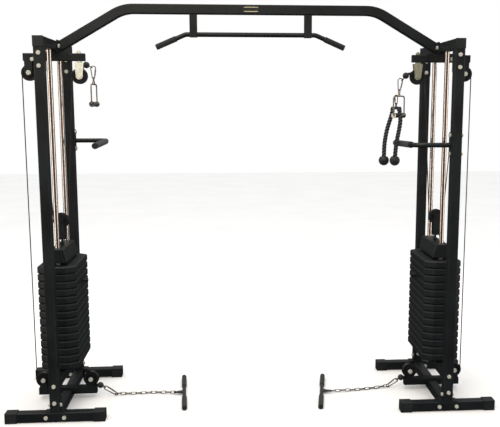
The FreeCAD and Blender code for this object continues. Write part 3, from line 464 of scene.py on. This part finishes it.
def rounded_copy(node, width):
    """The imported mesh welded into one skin, with a bevel on every crisp outer edge that is long enough."""
    mesh = frame["nodes"][node].data.copy()
    work = bmesh.new()
    work.from_mesh(mesh)
    bmesh.ops.remove_doubles(work, verts=work.verts, dist=WELD)
    bmesh.ops.dissolve_limit(work, angle_limit=FLAT_ANGLE, verts=work.verts, edges=work.edges)
    weight = work.edges.layers.float.new("bevel_weight_edge")
    for edge in work.edges:
        crisp = len(edge.link_faces) == 2 and edge.calc_face_angle() > BEVEL_ANGLE
        convex = crisp and edge.is_convex
        edge[weight] = 1.0 if convex and edge.calc_length() > SHORTEST_EDGE else 0.0
        edge.smooth = not crisp
    work.to_mesh(mesh)
    work.free()
    mesh.polygons.foreach_set("use_smooth", np.ones(len(mesh.polygons), dtype=bool))
    piece = bpy.data.objects.new(node + "_skin", mesh)
    bpy.context.scene.collection.objects.link(piece)
    bevel = piece.modifiers.new("soft_edges", "BEVEL")
    bevel.width = width
    bevel.segments = BEVEL_STEPS
    bevel.limit_method = "WEIGHT"
    bevel.use_clamp_overlap = True
    normals = piece.modifiers.new("even_shading", "WEIGHTED_NORMAL")
    normals.keep_sharp = True
    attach(piece, body_of[node])
    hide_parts(node)
    dress(piece, frame["nodes"][node].data.materials[0])


PLATE_EDGE, TUBE_EDGE, CAP_EDGE = 3.2 * MM, 2.6 * MM, 2.2 * MM
SOFT_EDGES = {
    "resting_plates": PLATE_EDGE, "left_lifted_plates": PLATE_EDGE, "right_lifted_plates": PLATE_EDGE,
    "left_head_block": CAP_EDGE, "right_head_block": CAP_EDGE, "end_caps": CAP_EDGE,
    "uprights": TUBE_EDGE, "feet": TUBE_EDGE, "top_tubes": TUBE_EDGE, "top_beam": TUBE_EDGE,
}
for node, width in SOFT_EDGES.items():
    rounded_copy(node, width)
print("rounded", len(SOFT_EDGES), "nodes")

# %% [markdown]
# ## Guide rods
# Ground and chromed bars 25 mm thick, two in each tower. Each is one fine tube along its own axis, which
# keeps its highlights straight along the whole 1.7 m, and its two ends break into a 1 mm chamfer.

# %% Rods
TOWER_X = 1045.0
ROD_RADIUS, ROD_LOW, ROD_HIGH, ROD_Y = 12.5 * MM, 222 * MM, 1925.5 * MM, 117 * MM
ROD_CHAMFER, ROD_STEPS, ROD_SPOKES = 1 * MM, 9, 64


def guide_rod(x, y):
    """A tube straight up from the shelf: radius R, less the chamfer at the two ends over its own height."""
    length = ROD_HIGH - ROD_LOW
    heights = np.concatenate([[0.0, ROD_CHAMFER], np.linspace(0.1, 0.9, ROD_STEPS) * length,
                              [length - ROD_CHAMFER, length]])
    radii = np.full(len(heights), ROD_RADIUS)
    radii[[0, -1]] -= ROD_CHAMFER
    path = np.column_stack([np.full(len(heights), x), np.full(len(heights), y), ROD_LOW + heights])
    return grid_object("rod", tube_grid(path, radii, ROD_SPOKES))


rods = join("polished_guide_rods", [guide_rod(x, y) for x in (-TOWER_X * MM, TOWER_X * MM)
                                    for y in (-ROD_Y, ROD_Y)])
dress(rods, chrome)
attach(rods, "frame")
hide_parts("guide_rods")
print("rods", len(rods.data.polygons), "faces")

# %% [markdown]
# ## The cable over the pulleys
# A plastic-jacketed steel rope runs from the upper ball, over the swivel pulley, under the floating
# pulley, over the outer one and down to the floor pulleys. Each straight run touches two circles, so its
# ends come from the geometry of a belt. The runs beside the weights shorten as the stack rises, and the
# top of one bends with its swivel, so they are pieces of their own.

# %% Cable runs
CABLE_RADIUS = 2.75 * MM
BEND = 39.2
SWIVEL, FLOATING, OUTER = (129.0, 1796.0), (0.0, 1017.0), (-133.0, 1812.0)
CABLE_SPOKES, RUN_STEPS, LOOP_STEPS = 12, 30, 40
SPLICE_Z = 1676.0


def tangent(first, second):
    """Ends of the run between two circles (x, z, radius, turn): the run's heading makes the offset of the
    two radii square to it, so its length is the root of distance squared less offset squared."""
    (x1, z1, r1, s1), (x2, z2, r2, s2) = first, second
    dx, dz = x2 - x1, z2 - z1
    offset = s2 * r2 - s1 * r1
    square = dx * dx + dz * dz
    run = math.sqrt(square - offset * offset)
    ux, uz = (run * dx + offset * dz) / square, (run * dz - offset * dx) / square
    return np.array([x1 + s1 * r1 * uz, z1 - s1 * r1 * ux]), np.array([x2 + s2 * r2 * uz, z2 - s2 * r2 * ux])


def tower_path(side, flat):
    """Tower (x, z) millimetres to places in metres: the right tower is turned half round."""
    sign = 1 if side == "left" else -1
    flat = np.atleast_2d(np.array(flat, float))
    return np.column_stack([sign * (flat[:, 0] - TOWER_X), np.zeros(len(flat)), flat[:, 1]]) * MM


def straight(a, b, count=12):
    """Evenly spaced points from a to b."""
    return a + np.linspace(0, 1, count)[:, None] * (b - a)


def cable_piece(name, path, body=None):
    """A round tube along the path. A piece with no body is left free."""
    piece = grid_object(name, tube_grid(path, CABLE_RADIUS, CABLE_SPOKES))
    dress(piece, jacket)
    if body:
        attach(piece, body)
    return piece


for side in SIDES:
    inner = tangent((*SWIVEL, BEND, 1), (*FLOATING, BEND, -1))
    outer = tangent((*FLOATING, BEND, -1), (*OUTER, BEND, 1))
    share = (SPLICE_Z - inner[0][1]) / (inner[1][1] - inner[0][1])
    splice = inner[0] + share * (inner[1] - inner[0])
    share = (SPLICE_Z - outer[1][1]) / (outer[0][1] - outer[1][1])
    outer_splice = outer[1] + share * (outer[0] - outer[1])
    top = cable_piece(side + "_cable_at_swivel", tower_path(side, straight(inner[0], splice, 20)))
    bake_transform(top)
    cable_piece(side + "_cable_at_outer", tower_path(side, straight(outer[1], outer_splice)), "frame")
    low_in, low_out = inner[1], outer[0]
    for label, a, b in (("inner", splice, low_in), ("outer", outer_splice, low_out)):
        run = cable_piece(side + "_cable_run_" + label, tower_path(side, straight(a, b, RUN_STEPS)), "frame")
        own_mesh(run)
    first = math.atan2(low_in[1] - FLOATING[1], low_in[0] - FLOATING[0])
    last = math.atan2(low_out[1] - FLOATING[1], low_out[0] - FLOATING[0])
    sweep = np.linspace(first, last if last < first else last - 2 * math.pi, LOOP_STEPS)
    bow = np.column_stack([FLOATING[0] + BEND * np.cos(sweep), FLOATING[1] + BEND * np.sin(sweep)])
    loop = cable_piece(side + "_cable_loop", tower_path(side, bow), side + "_stack")
    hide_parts(side + "_lift_cable")

# %% [markdown]
# ## A plain badge
# The beam carries a small badge at its middle. This one is a blank pressed plate: a rounded rectangle
# whose face swells by a fraction of a millimetre, dark in the middle with a pale raised rim.

# %% Badge
BADGE_WIDTH, BADGE_HEIGHT, BADGE_THICK = 84 * MM, 26 * MM, 1.2 * MM
BADGE_PLACE = (0.0, -25.0 * MM, 2146.6 * MM)
BADGE_POWER, BADGE_SPOKES = 0.4, 64


def badge_plate():
    """Superellipse rings: x = a k cos^0.4 t, z = b k sin^0.4 t with their signs, for k from 1 down to 0.02;
    the outermost ring lies on the beam and the rest stand off it by a share of the plate's thickness."""
    turn = np.linspace(0, 2 * np.pi, BADGE_SPOKES, endpoint=False)
    wide, high = (np.sign(wave) * np.abs(wave) ** BADGE_POWER for wave in (np.cos(turn), np.sin(turn)))
    rings = [(1.0, 0.0), (1.0, 0.7), (0.97, 1.0), (0.9, 1.0), (0.86, 0.75), (0.5, 0.85), (0.02, 0.9)]
    points = np.array([np.column_stack([BADGE_PLACE[0] + BADGE_WIDTH / 2 * k * wide,
                                        np.full(BADGE_SPOKES, BADGE_PLACE[1] - BADGE_THICK * lift),
                                        BADGE_PLACE[2] + BADGE_HEIGHT / 2 * k * high])
                       for k, lift in rings])
    return grid_object("beam_badge", points)


def badge_finish():
    """Pale rim and dark field, told apart by the distance from the plate's long middle line."""
    material, tree, shader = new_material("pressed_badge", {"Roughness": 0.4})
    place = add_node(tree, "SeparateXYZ", links={"Vector": add_node(tree, "TexCoord").outputs["Object"]})
    rise = add_node(tree, "Math", {"operation": "SUBTRACT", 1: BADGE_PLACE[2]}, {0: place.outputs["Z"]})
    away = add_node(tree, "Math", {"operation": "ABSOLUTE"}, {0: rise.outputs["Value"]})
    share = add_node(tree, "Math", {"operation": "DIVIDE", 1: BADGE_HEIGHT / 2}, {0: away.outputs["Value"]})
    add_node(tree, "ValToRGB", {"stops": [(0.62, "#23211c"), (0.8, "#b8ad8c")]},
             {"Fac": share.outputs["Value"]}, {"Color": shader.inputs["Base Color"]})
    add_node(tree, "Bump", {"Strength": 0.4, "Distance": 0.0002}, {"Height": object_noise(tree, 700.0)},
             {"Normal": shader.inputs["Normal"]})
    return material


badge = badge_plate()
dress(badge, badge_finish())
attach(badge, "frame")
print("badge", round(BADGE_WIDTH / MM), "by", round(BADGE_HEIGHT / MM), "mm")

# %% [markdown]
# ## Floor and light
# A pale floor that fades into a white world, broad soft lights in front and overhead, and one at each side,
# so that the black frame shows long soft highlights. Mirrored rays see a darker world, dim near the floor
# and pale overhead, because chrome in an all-white room would have nothing to show.

# %% Stage
def stage_floor(size):
    """A flat square reaching the size each way. Bounced and mirrored rays pass through it, so that it
    catches shadows but throws no light up at the frame."""
    mesh = bpy.data.meshes.new("studio_floor")
    mesh.from_pydata([(-size, -size, 0), (size, -size, 0), (size, size, 0), (-size, size, 0)], [],
                     [(0, 1, 2, 3)])
    floor = bpy.data.objects.new("studio_floor", mesh)
    bpy.context.scene.collection.objects.link(floor)
    material, tree, shader = new_material("pale_floor", {"Roughness": 0.9})
    add_node(tree, "ValToRGB", {"stops": [(0.3, "#f6f6f5"), (0.7, "#fbfbfa")]},
             {"Fac": object_noise(tree, 1.5)}, {"Color": shader.inputs["Base Color"]})
    floor.data.materials.append(material)
    floor.visible_glossy = False
    floor.visible_diffuse = False


def area_light(name, place, aim, size, power, tint="#ffffff"):
    """A soft rectangle of light, tilted from straight down and turned about the vertical to face its aim."""
    data = bpy.data.lights.new(name, "AREA")
    data.shape = "RECTANGLE"
    data.size, data.size_y = size
    data.energy = power
    data.color = linear(tint)[:3]
    light = bpy.data.objects.new(name, data)
    bpy.context.scene.collection.objects.link(light)
    light.location = place
    direction = np.array(aim, float) - np.array(place, float)
    flat = math.hypot(direction[0], direction[1])
    heading = math.atan2(direction[0], -direction[1]) + math.pi
    light.rotation_euler = (math.atan2(flat, -direction[2]), 0, heading)


stage_floor(14.0)
world = bpy.data.worlds.new("studio_world")
world.use_nodes = True
tree = world.node_tree
height = add_node(tree, "SeparateXYZ", links={"Vector": add_node(tree, "TexCoord").outputs["Generated"]})
lifted = add_node(tree, "MapRange", {"From Min": -1.0, "From Max": 1.0}, {"Value": height.outputs["Z"]})
studio = add_node(tree, "ValToRGB", {"stops": [(0.3, "#2a2d30"), (0.5, "#5c5b59"), (0.68, "#8c8b88"),
                                               (1.0, "#e8e8e6")]}, {"Fac": lifted.outputs["Result"]})
path = add_node(tree, "LightPath")
add_node(tree, "MixRGB", {"Color1": linear("#ffffff")},
         {"Fac": path.outputs["Is Glossy Ray"], "Color2": studio.outputs["Color"]},
         {"Color": tree.nodes["Background"].inputs["Color"]})
bpy.context.scene.world = world
area_light("key_light", (-1.5, -4.0, 4.8), (0, 0, 1.4), (3.5, 2.5), 110, "#fff0dc")
area_light("top_light", (0, 0.5, 5.0), (0, 0, 0), (5.0, 3.0), 60)
area_light("left_softbox", (-5.5, -2.2, 1.6), (0, 0, 1.3), (1.6, 4.0), 70, "#fff2e6")
area_light("right_softbox", (5.5, -2.2, 1.6), (0, 0, 1.3), (1.6, 4.0), 70, "#fff2e6")
bpy.context.scene.view_settings.view_transform = "Standard"
print("lights", [light.name for light in bpy.data.lights])
